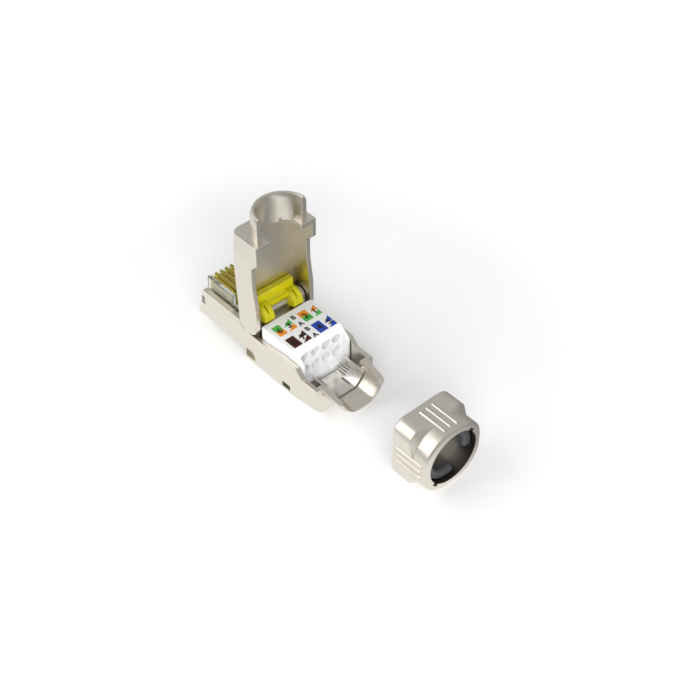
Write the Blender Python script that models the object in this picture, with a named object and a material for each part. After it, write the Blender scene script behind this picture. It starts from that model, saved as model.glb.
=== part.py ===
"""Shielded field termination plug for eight-wire network cable.

A die-cast trough carries the clear nose, the wiring parts and the lower half of the cable tube. A die-cast
lid turns on a pin across the trough and carries the upper half. The locking collar lies behind the cable
outlet, in line with the plug, and slides over both half tubes.

X runs from the nose to the cable, Y across the plug, Z up. Sizes are in millimetres. Places along X are
first counted from the front of the nose. The origin is the middle of the flat underside.
"""

import math

import bmesh
import bpy
from mathutils import Matrix, Vector

MM = 0.001

# Outer form
PLUG_WIDTH = 11.7
NOSE_BOTTOM = 2.1
NOSE_WALL_TOP = 7.45
NOSE_RAKE = 1.4
NOSE_CHEEK = 1.1
FOOT_START = 10.66
FOOT_END = 21.55
BODY_END = 28.25
WALL_TOP = 6.65
RAMP_START = 15.5
RAMP_END = 19.7
TOOTH_START = 23.5
TOOTH_END = 24.9
REAR_WALL_TOP = 5.2
ROOF_REAR_TOP = 11.6
EDGE_RADIUS = 0.35
REAR_CORNER_RADIUS = 1.8

# Walls and clearances
WALL = 0.8
FLOOR = 0.7
ROOF = 0.75
FRONT_STEP_WALL = 0.8
REAR_WALL = 0.8
RIM_GAP = 0.15
RUN_GAP = 0.15
SEAT_GAP = 0.12

# Hinge
HINGE_X = 11.9
HINGE_Z = 8.5
KNUCKLE_RADIUS = 2.3
EAR_RADIUS = 1.35
EAR_THICKNESS = 0.9
PIN_RADIUS = 0.5
PIN_BITE = 0.4
OPEN_ANGLE = 90.0
BARREL_RADIUS = 0.85

# Press bar in the lid
RING_WIDTH = 1.9
RING_FRONT = 1.1
RING_SLIT = 0.3
PLATE_LENGTH = 3.6
BAR_LENGTH = 1.1
BAR_DROP = 0.5
BAR_LIP = 0.22
BAR_GROOVE = 0.16

# Cable tube
TUBE_LENGTH = 4.25
TUBE_RADIUS = 4.8
TUBE_WALL = 0.95
TUBE_TIP_LENGTH = 0.8
TUBE_TIP_TAPER = 0.3
TUBE_TIP_WALL = 0.35
TUBE_FLAT = 1.6
LOWER_TUBE_Z = 5.65
LOWER_RIM_FRONT = 5.25
LOWER_RIM_REAR = 4.35
LID_TUBE_Z = 6.05
LID_TUBE_RIM = 6.2
ROOF_SLOPE_START = 21.95
ROOF_SLOPE_DROP = 0.8
LEDGE_REACH = 0.85
LEDGE_HEIGHT = 1.4
GUSSET_START = 23.0
GUSSET_WIDTH = 1.0
END_NOTCH_WIDTH = 0.7
END_NOTCH_DEPTH = 1.1
END_NOTCH_DROP = 0.6

# Side windows: start, end, bottom and top
FRONT_WINDOW = (11.0, 13.2, 0.75, 2.4)
REAR_WINDOW = (20.0, 21.9, 0.75, 1.65)

# Nose
NOSE_TOP = 9.76
PLASTIC_BOTTOM = 2.75
NOSE_SIDE = 0.55
NOSE_FRONT = 0.85
NOSE_FLOOR = 0.85
NOSE_END = 9.0
NOSE_STEP = 0.6
NUB_BOTTOM = 4.7
NUB_TOP = 6.1
NUB_LENGTH = 0.9
CONTACT_COUNT = 8
CONTACT_MARGIN = 0.404
CONTACT_THICKNESS = 0.32
CONTACT_LENGTH = 5.8
CONTACT_HEIGHT = 2.4
CONTACT_START = 0.4
CONTACT_BELOW_TOP = 0.3
BLOCK_SILL_START = 0.15
BLOCK_HIGH_END = 6.7
BLOCK_LOW_TOP = 7.3
BLOCK_TAIL_END = 13.9

# Latch lever
LEVER_START = -0.6
LEVER_END = 10.2
LEVER_WIDTH = 6.0
LEVER_NARROW_WIDTH = 3.2
LEVER_THICKNESS = 0.75
LEVER_TIP_Z = 0.35
LEVER_TIP_LENGTH = 1.2
LEVER_SHOULDER = 6.4

# Wiring parts
BOARD_THICKNESS = 0.8
MANAGER_START = 14.25
MANAGER_END = 23.95
MANAGER_TOP = 8.6
MANAGER_BOTTOM = 3.1
MANAGER_CHAMFER_X = 2.35
MANAGER_CHAMFER_Z = 1.88
MANAGER_SKIRT = 1.75
MANAGER_CHEEK = 0.6
MANAGER_RECESS = 1.35
RECESS_FLOOR = 3.3
RECESS_FALL = 0.4
WIRE_MARGIN = 1.675
WIRE_HOLE_RADIUS = 0.83
WIRE_HOLE_DEPTH = 1.2
UPPER_HOLE_Z = 6.88
LOWER_HOLE_Z = 4.3
GUIDE_RADIUS = 0.72
GUIDE_FALL = 1.3
FRONT_FORK_X = 17.0
REAR_FORK_X = 20.3
FORK_WIDTH = 1.1
FORK_THICKNESS = 0.35
FORK_SLOT = 0.35
FORK_SLOT_DEPTH = 1.6
FORK_MOUTH = 0.35
FORK_REACH = 0.4

# Shield clip
CLIP_START = 24.35
CLIP_END = 28.9
CLIP_THICKNESS = 0.3
CLIP_TOP = 4.2
CLIP_FINGERS = 6
CLIP_FINGER_LENGTH = 2.0
CLIP_FINGER_GAP = 0.2
CLIP_SLOT_START = 26.2
CLIP_SLOT_LENGTH = 1.9
CLIP_SLOT_WIDTH = 0.5

# Locking collar
COLLAR_GAP = 11.95
COLLAR_LENGTH = 7.05
COLLAR_SLIP = 0.4
COLLAR_WALL = 0.4
COLLAR_STOP = 0.7
COLLAR_FRONT_LENGTH = 3.5
COLLAR_SLOPE_LENGTH = 0.9
COLLAR_FRONT_CORNER = 2.2
COLLAR_SLOPE_CORNER = 5.2
COLLAR_REAR_CORNER = 4.7
COLLAR_FRONT_EDGE = 0.25
COLLAR_REAR_EDGE = 0.3
KEYWAY_WIDTH = 1.1
KEYWAY_DEPTH = 0.55
RIB_START = 1.05
RIB_LENGTH = 5.15
RIB_WIDTH = 0.5
RIB_HEIGHT = 0.18
RIB_PITCH = 1.2
JAW_WALL = 1.4
JAW_LENGTH = 1.7
JAW_HALF_ANGLE = 58.0
JAW_CHAMFER = 0.4

HALF = PLUG_WIDTH / 2
INNER_HALF = HALF - WALL
ORIGIN_X = (FOOT_START + FOOT_END) / 2
ROOF_FRONT_TOP = HINGE_Z + KNUCKLE_RADIUS
TUBE_END = BODY_END + TUBE_LENGTH
TUBE_BORE_RADIUS = TUBE_RADIUS - TUBE_WALL
COLLAR_FRONT_BORE = TUBE_RADIUS + COLLAR_SLIP
COLLAR_REAR_BORE = COLLAR_FRONT_BORE - COLLAR_STOP
COLLAR_HALF = COLLAR_FRONT_BORE + COLLAR_WALL
COLLAR_FRONT_BORE_DEPTH = TUBE_LENGTH + RUN_GAP
FAR = 20.0


def material(name, colour, roughness, metallic=0.0, transmission=0.0):
    """Makes a plain surface of one colour."""
    finish = bpy.data.materials.new(name)
    finish.use_nodes = True
    shader = finish.node_tree.nodes["Principled BSDF"]
    shader.inputs["Base Color"].default_value = (*colour, 1.0)
    shader.inputs["Roughness"].default_value = roughness
    shader.inputs["Metallic"].default_value = metallic
    shader.inputs["Transmission Weight"].default_value = transmission
    return finish


def add_object(name, bm):
    """Puts a bmesh in millimetres, counted from the nose, into the scene in metres about the origin."""
    bmesh.ops.recalc_face_normals(bm, faces=bm.faces)
    bmesh.ops.transform(bm, matrix=Matrix.Translation((-ORIGIN_X, 0, 0)), verts=bm.verts)
    bmesh.ops.scale(bm, vec=(MM, MM, MM), verts=bm.verts)
    mesh = bpy.data.meshes.new(name)
    bm.to_mesh(mesh)
    bm.free()
    made = bpy.data.objects.new(name, mesh)
    bpy.context.scene.collection.objects.link(made)
    return made


def bridge(bm, rings):
    """Closes a row of equal point rings into one skin with flat ends."""
    loops = [[bm.verts.new(point) for point in ring] for ring in rings]
    count = len(loops[0])
    for first, second in zip(loops, loops[1:]):
        for i in range(count):
            j = (i + 1) % count
            bm.faces.new((first[i], first[j], second[j], second[i]))
    bm.faces.new(loops[0])
    bm.faces.new(list(reversed(loops[-1])))


def loft(name, rings):
    """A solid through a row of equal point rings."""
    bm = bmesh.new()
    bridge(bm, rings)
    return add_object(name, bm)


def prism_y(name, outline, y0, y1):
    """A solid from an outline of (x, z) points, between two places across the plug."""
    return loft(name, [[(x, y, z) for x, z in outline] for y in (y0, y1)])


def prism_x(name, outline, x0, x1):
    """A solid from an outline of (y, z) points, between two places along the plug."""
    return loft(name, [[(x, y, z) for y, z in outline] for x in (x0, x1)])


def block(name, x0, x1, y0, y1, z0, z1):
    """A solid box."""
    return prism_y(name, [(x0, z0), (x1, z0), (x1, z1), (x0, z1)], y0, y1)


def arc(centre_a, centre_b, radius, start, end, steps):
    """Points on an arc, with angles in degrees from the first axis to the second."""
    angles = [math.radians(start + (end - start) * i / steps) for i in range(steps + 1)]
    return [(centre_a + radius * math.cos(a), centre_b + radius * math.sin(a)) for a in angles]


def circle(centre_a, centre_b, radius, steps, turn=0.0):
    """Points all round a circle."""
    return arc(centre_a, centre_b, radius, turn, turn + 360.0 * (steps - 1) / steps, steps - 1)


def rounded_rectangle(half, low, high, radius, steps):
    """Points of an upright (y, z) rectangle with round corners."""
    points = []
    for y, z, start in ((half, high, 0), (-half, high, 90), (-half, low, 180), (half, low, 270)):
        centre_y = y - math.copysign(radius, y)
        centre_z = z - radius if z == high else z + radius
        points += arc(centre_y, centre_z, radius, start, start + 90, steps)
    return points


def boolean(target, tool, operation):
    """Joins, cuts or crosses a solid with a tool solid, which is used up."""
    modifier = target.modifiers.new("Boolean", "BOOLEAN")
    modifier.operation = operation
    modifier.solver = "EXACT"
    modifier.object = tool
    bpy.context.view_layer.update()
    graph = bpy.context.evaluated_depsgraph_get()
    result = bpy.data.meshes.new_from_object(target.evaluated_get(graph))
    target.modifiers.clear()
    old = target.data
    target.data = result
    bpy.data.meshes.remove(old)
    tool_mesh = tool.data
    bpy.data.objects.remove(tool, do_unlink=True)
    bpy.data.meshes.remove(tool_mesh)
    return target


def cut(target, tool):
    return boolean(target, tool, "DIFFERENCE")


def join(target, tool):
    return boolean(target, tool, "UNION")


def cross(target, tool):
    return boolean(target, tool, "INTERSECT")


def finish(piece, name, surface, smooth_angle=30.0):
    """Names a finished piece, gives it its surface and shades its round stretches smooth."""
    piece.name = name
    piece.data.name = name
    piece.data.materials.clear()
    piece.data.materials.append(surface)
    for face in piece.data.polygons:
        face.material_index = 0
    piece.data.shade_smooth()
    piece.data.set_sharp_from_angle(angle=math.radians(smooth_angle))
    return piece


def roof_top(x):
    """Height of the closed lid's roof, which rises in a straight line from the hinge to the rear."""
    rise = (ROOF_REAR_TOP - ROOF_FRONT_TOP) / (BODY_END - HINGE_X)
    return ROOF_FRONT_TOP + rise * max(0.0, x - HINGE_X)


def shell_form(name):
    """The closed outer form that the trough and the lid share: square, rounder towards the cable."""
    stations = 6
    rings = []
    places = [(-NOSE_RAKE - 2.0, EDGE_RADIUS), (HINGE_X, EDGE_RADIUS)]
    for i in range(stations):
        share = i / (stations - 1)
        x = FOOT_END + (BODY_END - FOOT_END) * share
        places.append((x, EDGE_RADIUS + (REAR_CORNER_RADIUS - EDGE_RADIUS) * share ** 1.6))
    for x, radius in places:
        rings.append([(x, y, z) for y, z in rounded_rectangle(HALF, 0.0, roof_top(x), radius, 5)])
    return loft(name, rings)


def wall_top_outline(offset):
    """Points (x, z) of the parting line of trough and lid, from the hinge to the rear, raised by a gap."""
    low = HINGE_Z - KNUCKLE_RADIUS - SEAT_GAP
    return [
        (RAMP_START, low + offset),
        (RAMP_END, WALL_TOP + offset),
        (TOOTH_START + offset / 2, WALL_TOP + offset),
        (TOOTH_END + offset / 2, REAR_WALL_TOP + offset),
        (BODY_END + 1.0, REAR_WALL_TOP + offset),
    ]


def trough_arc(gap):
    """Middle, radius and lowest angle of the round side of the lower bore, made smaller by a gap."""
    middle = -TUBE_FLAT ** 2 / (2 * (TUBE_BORE_RADIUS - TUBE_FLAT))
    radius = TUBE_BORE_RADIUS - middle - gap
    return middle, radius, -math.degrees(math.asin((TUBE_BORE_RADIUS - gap) / radius))


def trough_section(gap, top):
    """Points (y, z) of the left and right half of the lower bore, made smaller by a gap, up to a height."""
    middle, radius, start = trough_arc(gap)
    end = -math.degrees(math.asin((LOWER_TUBE_Z - top) / radius))
    right = arc(middle, LOWER_TUBE_Z, radius, start, end, 8)
    left = [(-y, z) for y, z in reversed(right)]
    return left, right


def lower_side_outline():
    """The trough seen from the side, with a round recess for the lid's knuckle."""
    recess = KNUCKLE_RADIUS + SEAT_GAP
    lean = math.degrees(math.asin((HINGE_Z - NOSE_WALL_TOP) / recess))
    outline = [
        (-NOSE_RAKE, NOSE_BOTTOM),
        (FOOT_START, NOSE_BOTTOM),
        (FOOT_START, -1.0),
        (BODY_END + 1.0, -1.0),
    ]
    outline += list(reversed(wall_top_outline(0.0)))
    outline += arc(HINGE_X, HINGE_Z, recess, 270.0, 180.0 + lean, 8)
    outline.append((0.0, NOSE_WALL_TOP))
    return outline


def cut_trough(housing):
    """Opens the nose between its cheeks and hollows the body."""
    channel = HALF - NOSE_CHEEK
    shelf = PLASTIC_BOTTOM - RUN_GAP
    cut(housing, block("channel", -FAR, FOOT_START, -channel, channel, -1.0, FAR))
    cut(housing, block("throat", FOOT_START - 1.0, HINGE_X, -channel, channel, shelf, FAR))
    rear = BODY_END - REAR_WALL
    front = FOOT_START + FRONT_STEP_WALL
    cut(housing, block("cavity", front, rear, -INNER_HALF, INNER_HALF, FLOOR, FAR))


def add_ears(housing):
    """Adds an ear inside each wall, with a leg down to the floor, for the hinge pin."""
    outer = INNER_HALF - RUN_GAP
    inner = ear_inner_face()
    left = HINGE_X - EAR_RADIUS
    right = HINGE_X + EAR_RADIUS
    upright = [(left, FLOOR - 0.2), (right, FLOOR - 0.2)] + arc(HINGE_X, HINGE_Z, EAR_RADIUS, 0.0, 180.0, 12)
    root_top = HINGE_Z - KNUCKLE_RADIUS - SEAT_GAP - 0.2
    for side in (-1, 1):
        root_outer = side * (INNER_HALF + WALL / 2)
        join(housing, prism_y("ear", upright, side * inner, side * outer))
        join(housing, block("root", left, right, side * inner, root_outer, FLOOR - 0.2, root_top))
    hole = prism_y("hole", circle(HINGE_X, HINGE_Z, PIN_RADIUS + 0.08, 20), -FAR, FAR)
    cut(housing, hole)


def tube_barrel(centre_z):
    """The outside of the cable tube, tapered at its tip."""
    rings = []
    for x, radius in ((BODY_END - REAR_WALL / 2, TUBE_RADIUS), (TUBE_END - TUBE_TIP_LENGTH, TUBE_RADIUS),
                      (TUBE_END, TUBE_RADIUS - TUBE_TIP_TAPER)):
        rings.append([(x, y, z) for y, z in circle(0.0, centre_z, radius, 40)])
    return loft("barrel", rings)


def bore_tool(section, centre_z, x0):
    """A cutter for the tube's bore, from an outline of (y, z) points, which widens to a thin end ring."""
    mouth = (TUBE_RADIUS - TUBE_TIP_TAPER - TUBE_TIP_WALL) / TUBE_BORE_RADIUS
    rings = []
    for x, size in ((x0, 1.0), (TUBE_END - TUBE_TIP_LENGTH, 1.0), (TUBE_END, mouth), (TUBE_END + 1.0, mouth)):
        rings.append([(x, y * size, centre_z + (z - centre_z) * size) for y, z in section])
    return loft("bore", rings)


def add_lower_tube(housing):
    """Adds the lower half of the cable tube: a sloping rim, and a bore with a flat bottom."""
    barrel = tube_barrel(LOWER_TUBE_Z)
    above = [(BODY_END, LOWER_RIM_FRONT), (TUBE_END, LOWER_RIM_REAR), (FAR * 3, LOWER_RIM_REAR),
             (FAR * 3, FAR), (0.0, FAR), (0.0, LOWER_RIM_FRONT)]
    cut(barrel, prism_y("above", above, -FAR, FAR))
    join(housing, barrel)
    left, right = trough_section(0.0, LOWER_TUBE_Z)
    section = right + [(TUBE_BORE_RADIUS, FAR), (-TUBE_BORE_RADIUS, FAR)] + left
    cut(housing, bore_tool(section, LOWER_TUBE_Z, BODY_END - REAR_WALL - 0.5))
    notch_top = LOWER_RIM_FRONT - END_NOTCH_DROP
    start = BODY_END - REAR_WALL - 0.1
    for side in (-1, 1):
        inner = side * (TUBE_BORE_RADIUS - END_NOTCH_WIDTH)
        outer = side * (TUBE_BORE_RADIUS + END_NOTCH_WIDTH)
        notch_low = notch_top - END_NOTCH_DEPTH
        cut(housing, block("notch", start, BODY_END + 0.1, inner, outer, notch_low, notch_top))


def cut_side_windows(housing):
    """Cuts the small windows through both walls, and the notch for each snap nub."""
    for x0, x1, z0, z1 in (FRONT_WINDOW, REAR_WINDOW):
        for side in (-1, 1):
            cut(housing, block("window", x0, x1, side * (INNER_HALF - 0.1), side * FAR, z0, z1))
    notch_end = nub_end() + RUN_GAP
    for side in (-1, 1):
        inner = HALF - NOSE_CHEEK - 0.5
        low = NUB_BOTTOM - RUN_GAP
        high = NUB_TOP + RUN_GAP
        cut(housing, block("notch", -FAR, notch_end, side * inner, side * FAR, low, high))


def nub_end():
    """Where the snap nub ends, behind the raked front edge of the cheek."""
    middle = (NUB_BOTTOM + NUB_TOP) / 2
    lean = (NOSE_WALL_TOP - middle) / (NOSE_WALL_TOP - NOSE_BOTTOM)
    return NUB_LENGTH - NOSE_RAKE * lean


def make_lower_housing(metal):
    housing = shell_form("form")
    outline = prism_y("side", lower_side_outline(), -HALF - 1.0, HALF + 1.0)
    cross(housing, outline)
    cut_trough(housing)
    add_ears(housing)
    add_lower_tube(housing)
    cut_side_windows(housing)
    return finish(housing, "lower_housing", metal)


def lid_side_outline():
    """The closed lid seen from the side, with its round knuckle at the hinge."""
    low = HINGE_Z - KNUCKLE_RADIUS
    knuckle = arc(HINGE_X, HINGE_Z, KNUCKLE_RADIUS, 270.0, 90.0, 20)
    outline = knuckle + [
        (HINGE_X + 0.05, FAR),
        (BODY_END + 1.0, FAR),
    ]
    parting = wall_top_outline(RIM_GAP)
    parting[0] = (RAMP_START, low)
    outline += list(reversed(parting))
    return outline


def lid_hollow_outline():
    """The space inside the closed lid seen from the side: round over the ears, lower towards the tube."""
    inner = KNUCKLE_RADIUS - ROOF
    ceiling = ROOF_FRONT_TOP - ROOF
    end = BODY_END - REAR_WALL
    outline = [(HINGE_X - inner, -1.0)]
    outline += arc(HINGE_X, HINGE_Z, inner, 180.0, 90.0, 10)
    outline += [
        (ROOF_SLOPE_START, ceiling),
        (end, ceiling - ROOF_SLOPE_DROP),
        (end, -1.0),
    ]
    return outline


def add_upper_tube(lid):
    """Adds the upper half of the cable tube: a round bore, and a ledge in the end wall at each side."""
    barrel = tube_barrel(LID_TUBE_Z)
    cut(barrel, block("below", 0.0, FAR * 3, -FAR, FAR, -FAR, LID_TUBE_RIM))
    join(lid, barrel)
    cut(lid, bore_tool(circle(0.0, LID_TUBE_Z, TUBE_BORE_RADIUS, 40), LID_TUBE_Z, BODY_END))
    ledge_top = LID_TUBE_RIM + LEDGE_HEIGHT
    inner = TUBE_BORE_RADIUS - LEDGE_REACH
    start = math.degrees(math.asin((ledge_top - LID_TUBE_Z) / TUBE_BORE_RADIUS))
    mouth = arc(0.0, LID_TUBE_Z, TUBE_BORE_RADIUS, start, 180.0 - start, 20)
    mouth += [(-inner, ledge_top), (-inner, 0.0), (inner, 0.0), (inner, ledge_top)]
    cut(lid, prism_x("mouth", mouth, BODY_END - REAR_WALL - 0.5, BODY_END + 0.01))


def add_gussets(lid):
    """Adds a pointed rib in each corner between the roof and a side wall, widest at the end wall."""
    end = BODY_END - REAR_WALL
    ceiling = ROOF_FRONT_TOP - ROOF
    end_ceiling = ceiling - ROOF_SLOPE_DROP
    bite = WALL / 2
    for side in (-1, 1):
        y = side * INNER_HALF
        rings = []
        for x, top, width in ((GUSSET_START, ceiling, 0.05), (end + bite, end_ceiling, GUSSET_WIDTH)):
            rings.append([(x, y + side * bite, top - width), (x, y, top - width), (x, y - side * width, top),
                          (x, y - side * width, top + bite), (x, y + side * bite, top + bite)])
        join(lid, loft("gusset", rings))


def swing_open(piece):
    """Turns a piece that is modelled closed about the hinge pin, to stand as the open lid does."""
    hinge = Vector(((HINGE_X - ORIGIN_X) * MM, 0.0, HINGE_Z * MM))
    turn = Matrix.Rotation(-math.radians(OPEN_ANGLE), 4, "Y")
    piece.data.transform(turn @ Matrix.Translation(-hinge))
    piece.location = hinge
    return piece


def ear_inner_face():
    """How far from the middle the inner face of each hinge ear stands."""
    return INNER_HALF - RUN_GAP - EAR_THICKNESS


def cut_ear_slots(lid):
    """Opens the front of the lid where the legs of the hinge ears pass when it swings."""
    high = HINGE_Z + EAR_RADIUS + RUN_GAP
    inner = ear_inner_face() - RUN_GAP
    for side in (-1, 1):
        cut(lid, block("slot", HINGE_X - FAR, HINGE_X, side * inner, side * INNER_HALF, -1.0, high))


def add_barrel(lid):
    """Adds the barrel round the pin between the two rings of the press bar, with a panel to the knuckle."""
    reach = KNUCKLE_RADIUS - ROOF / 2
    half = press_bar_inner() - RUN_GAP
    outline = arc(HINGE_X, HINGE_Z, BARREL_RADIUS, 270.0, 450.0, 16)
    back = HINGE_X - reach + SEAT_GAP
    outline += [(back, HINGE_Z + BARREL_RADIUS / 2), (back, HINGE_Z - BARREL_RADIUS)]
    join(lid, prism_y("barrel", outline, -half, half))


def make_lid(metal):
    lid = shell_form("form")
    outline = prism_y("side", lid_side_outline(), -HALF - 1.0, HALF + 1.0)
    cross(lid, outline)
    cut(lid, prism_y("hollow", lid_hollow_outline(), -INNER_HALF, INNER_HALF))
    cut_ear_slots(lid)
    add_barrel(lid)
    add_gussets(lid)
    add_upper_tube(lid)
    bite = INNER_HALF + PIN_BITE
    cut(lid, prism_y("blind hole", circle(HINGE_X, HINGE_Z, PIN_RADIUS + 0.05, 20), -bite, bite))
    finish(lid, "lid", metal)
    return swing_open(lid)


def make_hinge_pin(steel):
    reach = INNER_HALF + PIN_BITE - 0.1
    pin = prism_y("pin", circle(HINGE_X, HINGE_Z, PIN_RADIUS, 20), -reach, reach)
    finish(pin, "hinge_pin", steel)
    return swing_open(pin)


def press_bar_outer():
    """How far from the middle the outer faces of the press bar's rings stand, inside the hinge ears."""
    return ear_inner_face() - RUN_GAP


def press_bar_inner():
    return press_bar_outer() - RING_WIDTH


def make_press_bar(plastic):
    """The yellow bar in the lid: a plate under the roof, two slit rings on the pin and a bar between them."""
    ceiling = ROOF_FRONT_TOP - ROOF - SEAT_GAP
    plate_low = MANAGER_TOP + RUN_GAP + SEAT_GAP
    outer = press_bar_outer()
    inner = press_bar_inner()
    bite = RING_WIDTH / 4
    front = HINGE_X + BARREL_RADIUS + RUN_GAP
    bar = block("plate", front, HINGE_X + PLATE_LENGTH, -outer, outer, plate_low, ceiling)
    ring = [(HINGE_X - RING_FRONT, HINGE_Z)]
    ring += arc(HINGE_X, HINGE_Z, KNUCKLE_RADIUS - RUN_GAP, 270.0, 380.0, 12)
    ring += [(front + BAR_LENGTH, ceiling), (HINGE_X - BAR_DROP, ceiling),
             (HINGE_X - RING_FRONT, HINGE_Z + RING_FRONT)]
    for side in (-1, 1):
        join(bar, prism_y("ring", ring, side * inner, side * outer))
    low = HINGE_Z - BAR_DROP
    join(bar, block("bar", front, front + BAR_LENGTH, -inner - bite, inner + bite, low, plate_low + bite))
    groove = front + BAR_LIP
    cut(bar, block("groove", groove, groove + BAR_GROOVE, -inner, inner, low - 1.0, low + 2 * BAR_GROOVE))
    cut(bar, prism_y("grip", circle(HINGE_X, HINGE_Z, PIN_RADIUS + RUN_GAP / 2, 20), -FAR, FAR))
    for side in (-1, 1):
        middle = side * (inner + outer) / 2
        near = middle - RING_SLIT / 2
        cut(bar, block("slit", front, FAR * 2, near, near + RING_SLIT, -FAR, HINGE_Z - BAR_DROP / 2))
    finish(bar, "press_bar", plastic)
    return swing_open(bar)


def make_plug_nose(clear):
    """The clear nose: a floor, a low front wall and two sides, with a snap nub on each side."""
    outer = HALF - NOSE_CHEEK - SEAT_GAP
    inner = outer - NOSE_SIDE
    nose = block("nose", 0.0, NOSE_END, -outer, outer, PLASTIC_BOTTOM, NOSE_TOP)
    cut(nose, block("seat", NOSE_FRONT, NOSE_END + 1.0, -inner, inner, PLASTIC_BOTTOM + NOSE_FLOOR, FAR))
    cut(nose, block("window", -1.0, 2 * NOSE_FRONT, -inner, inner, contact_bottom() - RUN_GAP, FAR))
    cut(nose, block("rear step", BLOCK_HIGH_END, FAR, -FAR, FAR, BLOCK_LOW_TOP + NOSE_STEP, FAR))
    recess = KNUCKLE_RADIUS + SEAT_GAP + 0.1
    cut(nose, prism_y("knuckle room", circle(HINGE_X, HINGE_Z, recess, 40), -FAR, FAR))
    for side in (-1, 1):
        inside = side * (outer - NOSE_SIDE / 2)
        tip = side * (HALF - 0.1)
        join(nose, block("nub", nub_end() - NUB_LENGTH, nub_end(), inside, tip, NUB_BOTTOM, NUB_TOP))
    return finish(nose, "plug_nose", clear)


def contact_bottom():
    """The underside of the contact blades."""
    return NOSE_TOP - CONTACT_BELOW_TOP - CONTACT_HEIGHT


def block_half():
    """Half the width of the yellow block, which fits between the sides of the nose."""
    return HALF - NOSE_CHEEK - SEAT_GAP - NOSE_SIDE - SEAT_GAP


def contact_places():
    """Places of the blades across the nose, a standard 1.016 mm apart, in a nose of the standard width."""
    outermost = block_half() - CONTACT_MARGIN
    return [outermost * (2 * i / (CONTACT_COUNT - 1) - 1) for i in range(CONTACT_COUNT)]


def make_contact_block(plastic):
    """The yellow block: slots for the blades in front, a tail between the hinge ears behind."""
    outer = block_half()
    front = NOSE_FRONT + SEAT_GAP
    low = PLASTIC_BOTTOM + NOSE_FLOOR + SEAT_GAP
    room = KNUCKLE_RADIUS + SEAT_GAP
    tail_top = HINGE_Z - room
    head = block("head", front, NOSE_END - SEAT_GAP, -outer, outer, low, NOSE_TOP)
    sill = outer - SEAT_GAP
    join(head, block("sill", BLOCK_SILL_START, 2 * NOSE_FRONT, -sill, sill, contact_bottom(), NOSE_TOP))
    cut(head, block("rear step", BLOCK_HIGH_END, FAR, -FAR, FAR, BLOCK_LOW_TOP, FAR))
    join(head, block("neck", NOSE_END - 1.0, BLOCK_TAIL_END, -outer, outer, low, tail_top))
    tail_start = FOOT_START + FRONT_STEP_WALL + SEAT_GAP
    wide = ear_inner_face() - SEAT_GAP
    join(head, block("tail", tail_start, BLOCK_TAIL_END, -wide, wide, carrier_bottom(), tail_top))
    cut(head, prism_y("knuckle room", circle(HINGE_X, HINGE_Z, room, 40), -FAR, FAR))
    slot = CONTACT_THICKNESS + 2 * SEAT_GAP
    slot_end = CONTACT_START + CONTACT_LENGTH + SEAT_GAP
    for y in contact_places():
        low_side = contact_bottom() - SEAT_GAP
        cut(head, block("slot", -1.0, slot_end, y - slot / 2, y + slot / 2, low_side, FAR))
    return finish(head, "contact_block", plastic)


def make_plug_contacts(gold):
    """Eight blades, rounded at the front top corner."""
    x0 = CONTACT_START
    x1 = CONTACT_START + CONTACT_LENGTH
    low = contact_bottom()
    high = low + CONTACT_HEIGHT
    outline = [(x1, low), (x1, high - 0.5), (x1 - 0.9, high)]
    outline += arc(x0 + 0.6, high - 0.6, 0.6, 90.0, 180.0, 6)
    outline += [(x0, low + 0.5), (x0 + 0.7, low)]
    for number, y in enumerate(contact_places(), 1):
        blade = prism_y("blade", outline, y - CONTACT_THICKNESS / 2, y + CONTACT_THICKNESS / 2)
        finish(blade, f"plug_contact_{number}", gold)


def make_latch_lever(plastic):
    """The locking lever under the nose: a wide root and shoulder, a narrow tongue, and a raised end."""
    root_top = PLASTIC_BOTTOM - RUN_GAP
    t = LEVER_THICKNESS
    tip = LEVER_TIP_Z
    bend = LEVER_END - LEVER_TIP_LENGTH
    side = [(LEVER_START, root_top - t), (bend, tip), (LEVER_END, tip + t / 5), (LEVER_END, tip + t),
            (bend, tip + t), (LEVER_START + LEVER_TIP_LENGTH, root_top), (LEVER_START, root_top)]
    lever = prism_y("lever", side, -LEVER_WIDTH / 2, LEVER_WIDTH / 2)
    for way in (-1, 1):
        inner = way * LEVER_NARROW_WIDTH / 2
        outer = way * FAR
        outline = [(LEVER_SHOULDER, inner), (LEVER_END + 1.0, inner), (LEVER_END + 1.0, outer),
                   (LEVER_SHOULDER, outer)]
        tool = loft("trim", [[(x, y, z) for x, y in outline] for z in (-FAR, FAR)])
        cut(lever, tool)
    finish(lever, "latch_lever", plastic)
    pivot = Vector(((LEVER_START - ORIGIN_X) * MM, 0.0, root_top * MM))
    lever.data.transform(Matrix.Translation(-pivot))
    lever.location = pivot
    return lever


def board_bottom():
    return FLOOR + SEAT_GAP


def carrier_bottom():
    return board_bottom() + BOARD_THICKNESS + SEAT_GAP


def wiring_end():
    """Where the board and the carrier end, in front of the wire manager's skirt."""
    return MANAGER_END - MANAGER_SKIRT - SEAT_GAP


def make_circuit_board(laminate):
    start = FOOT_START + FRONT_STEP_WALL + SEAT_GAP
    half = INNER_HALF - SEAT_GAP
    board = block("board", start, wiring_end(), -half, half, board_bottom(), board_bottom() + BOARD_THICKNESS)
    ear = ear_inner_face() - SEAT_GAP
    room_end = HINGE_X + EAR_RADIUS + SEAT_GAP
    for side in (-1, 1):
        cut(board, block("ear room", -FAR, room_end, side * ear, side * FAR, -1.0, FAR))
    return finish(board, "circuit_board", laminate)


def manager_half():
    """Half the width of the wire manager, which fits between the walls of the trough."""
    return INNER_HALF - RUN_GAP


def wire_places():
    """Places of the four wires of a row across the plug."""
    outermost = manager_half() - WIRE_MARGIN
    return [outermost * (2 * i / 3 - 1) for i in range(4)]


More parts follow.
